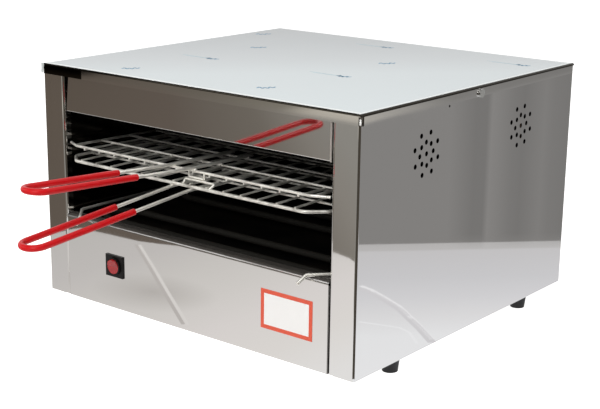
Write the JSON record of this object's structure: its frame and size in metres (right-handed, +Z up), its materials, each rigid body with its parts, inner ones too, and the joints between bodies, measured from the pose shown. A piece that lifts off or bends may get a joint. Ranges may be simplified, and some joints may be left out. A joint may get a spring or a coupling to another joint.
{
  "type": "commercial toaster",
  "caption": "Steel counter-top toaster with an open-fronted heating chamber and a hinged pair of wire grids with red sleeved handles that slides out on rails.",
  "frame": {"origin": "on the floor, under the middle of the whole outline, handles and cable gland included", "axes": "+Z up, the open front and the handles towards -Y, +X to the right of someone facing the back, X = 0 the plane of symmetry of the casing"},
  "size_m": [0.507, 0.747, 0.3176],
  "materials": {
    "casing_steel": "polished stainless sheet",
    "chamber_steel": "bright stainless sheet, slightly heat-tinted",
    "cover_film": "thin protective film, slightly milky",
    "grid_wire": "bright plated steel wire",
    "red_sleeve": "dipped red vinyl",
    "element_sheath": "dark heat-resisting sheath",
    "fastener_steel": "zinc-plated steel",
    "ceramic_white": "glazed ceramic bead",
    "brass_strip": "bare brass",
    "black_rubber": "matte black rubber",
    "black_plastic": "moulded black plastic",
    "cream_plastic": "moulded terminal plastic",
    "red_lens": "translucent red moulding",
    "label_print": "bare self-adhesive label with a plain border",
    "wire_insulation": "heat-resisting wire sleeving"
  },
  "bodies": {
    "housing": {"base_pan": "casing_steel", "left_side_panel": "casing_steel", "right_side_panel": "casing_steel", "rear_panel": "casing_steel", "top_cover": "casing_steel", "upper_fascia": "casing_steel", "control_panel": "casing_steel", "protective_film": "cover_film", "label_plate": "label_print", "left_chamber_wall": "chamber_steel", "right_chamber_wall": "chamber_steel", "chamber_back_wall": "chamber_steel", "chamber_ceiling": "chamber_steel", "reflector_tray": "chamber_steel", "left_grid_rail": "chamber_steel", "right_grid_rail": "chamber_steel", "element_brackets": "chamber_steel", "lower_runners": "grid_wire", "lower_heating_elements": "element_sheath", "upper_heating_elements": "element_sheath", "element_collars": "fastener_steel", "element_pins": "fastener_steel", "terminal_screws": "fastener_steel", "earth_stud": "fastener_steel", "earth_nuts": "fastener_steel", "foot_screws": "fastener_steel", "foot_nuts": "fastener_steel", "cover_screws": "fastener_steel", "rear_screws": "fastener_steel", "element_ceramics": "ceramic_white", "terminal_links": "brass_strip", "switch_tabs": "brass_strip", "wall_grommet": "black_rubber", "rubber_feet": "black_rubber", "terminal_block": "cream_plastic", "cable_gland": "black_plastic", "gland_nut": "black_plastic", "switch_body": "black_plastic", "mains_wires": "wire_insulation", "element_wires": "wire_insulation"},
    "lower_rack": {"lower_grid": "grid_wire", "lower_handle": "grid_wire", "lower_handle_sleeve": "red_sleeve", "grid_bridge": "grid_wire"},
    "upper_rack": {"upper_grid": "grid_wire", "upper_handle": "grid_wire", "upper_handle_sleeve": "red_sleeve", "grid_stop": "grid_wire", "hinge_eyes": "grid_wire"},
    "rocker_lens": {"switch_rocker": "red_lens"}
  },
  "joints": [
    {"name": "grid_slide", "type": "slide", "parent": "housing", "child": "lower_rack", "axis": [0, -1, 0], "range_m": [0, 0.3]},
    {"name": "upper_grid_hinge", "type": "hinge", "parent": "lower_rack", "child": "upper_rack", "pos_m": [0, 0.3075, 0.2015], "axis": [-1, 0, 0], "range_deg": [0, 4]},
    {"name": "rocker_hinge", "type": "hinge", "parent": "housing", "child": "rocker_lens", "pos_m": [-0.1263, -0.1255, 0.0724], "axis": [-1, 0, 0], "range_deg": [0, 16]}
  ]
}
